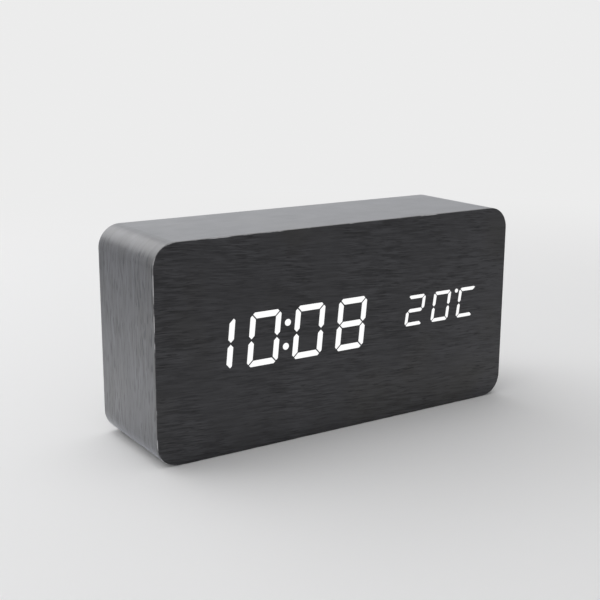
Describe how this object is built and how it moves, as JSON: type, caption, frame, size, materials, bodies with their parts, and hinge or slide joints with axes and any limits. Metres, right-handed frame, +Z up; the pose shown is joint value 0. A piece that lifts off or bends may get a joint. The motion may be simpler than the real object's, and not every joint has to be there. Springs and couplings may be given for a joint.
{
  "type": "digital led desk clock",
  "caption": "Block-shaped desk clock in black wood-grain film, showing the time and the temperature in white seven-segment digits, with a battery bay and buttons at the back.",
  "frame": {"origin": "on the ground, under the middle of the case", "axes": "+X along the width, to the right of someone who faces the display; +Y from the display to the back; +Z up"},
  "size_m": [0.15, 0.043, 0.075],
  "materials": {
    "wood_film": "black satin wood-grain film",
    "wood_veneer": "black satin wood-grain veneer",
    "reflector_plastic": "moulded white",
    "unlit_lens": "milky epoxy",
    "lit_lens": "milky epoxy, lit white",
    "led_chip": "phosphor",
    "circuit_board": "green solder mask",
    "screw_steel": "zinc plated",
    "chip_epoxy": "moulded black",
    "can_metal": "nickel plated",
    "header_plastic": "ivory",
    "ribbon_sleeve": "grey sleeve",
    "switch_plastic": "moulded black",
    "button_plastic": "satin dark grey",
    "bead_epoxy": "dipped epoxy",
    "cover_plastic": "fine moulded grain",
    "contact_nickel": "nickel plated",
    "lead_sleeve": "soft sleeve",
    "cell_jacket": "plain shrink sleeve"
  },
  "bodies": {
    "clock": {"back_cover": "cover_plastic", "battery_cell_1": "cell_jacket", "battery_cell_2": "cell_jacket", "battery_cell_3": "cell_jacket", "battery_cell_4": "cell_jacket", "battery_contacts": "contact_nickel", "battery_leads": "lead_sleeve", "buzzer": "switch_plastic", "celsius_segments": "lit_lens", "clock_chip": "chip_epoxy", "clock_crystal": "can_metal", "colon_dots": "lit_lens", "control_board": "circuit_board", "control_screws": "screw_steel", "cover_screws": "screw_steel", "dark_segments": "unlit_lens", "degree_dot": "lit_lens", "display_board": "circuit_board", "display_leds": "led_chip", "display_reflector": "reflector_plastic", "display_ribbon": "ribbon_sleeve", "display_screws": "screw_steel", "front_fascia": "wood_veneer", "hour_tens_segments": "lit_lens", "hour_units_segments": "lit_lens", "key_switches": "switch_plastic", "microphone": "can_metal", "minute_tens_segments": "lit_lens", "minute_units_segments": "lit_lens", "power_socket_core": "switch_plastic", "power_socket_shell": "can_metal", "ribbon_headers": "header_plastic", "sound_switch_housing": "can_metal", "temperature_tens_segments": "lit_lens", "temperature_units_segments": "lit_lens", "thermistor": "bead_epoxy", "wooden_case": "wood_film"},
    "set_button": {"set_button": "button_plastic", "set_plunger": "switch_plastic"},
    "up_button": {"up_button": "button_plastic", "up_plunger": "switch_plastic"},
    "down_button": {"down_button": "button_plastic", "down_plunger": "switch_plastic"},
    "sound_switch": {"sound_switch_knob": "button_plastic"},
    "door": {"battery_door": "cover_plastic"}
  },
  "joints": [
    {"name": "set_press", "type": "slide", "parent": "clock", "child": "set_button", "axis": [0, -1, 0], "range_m": [0, 0.0005], "stiffness_N_per_m": 800, "springref_m": -0.0005},
    {"name": "up_press", "type": "slide", "parent": "clock", "child": "up_button", "axis": [0, -1, 0], "range_m": [0, 0.0005], "stiffness_N_per_m": 800, "springref_m": -0.0005},
    {"name": "down_press", "type": "slide", "parent": "clock", "child": "down_button", "axis": [0, -1, 0], "range_m": [0, 0.0005], "stiffness_N_per_m": 800, "springref_m": -0.0005},
    {"name": "sound_switch_slide", "type": "slide", "parent": "clock", "child": "sound_switch", "axis": [1, 0, 0], "range_m": [0, 0.0025]},
    {"name": "battery_door_hinge", "type": "hinge", "parent": "clock", "child": "door", "pos_m": [0.05625, 0.01955, 0.0375], "axis": [0, 0, -1], "range_deg": [0, 95]}
  ]
}
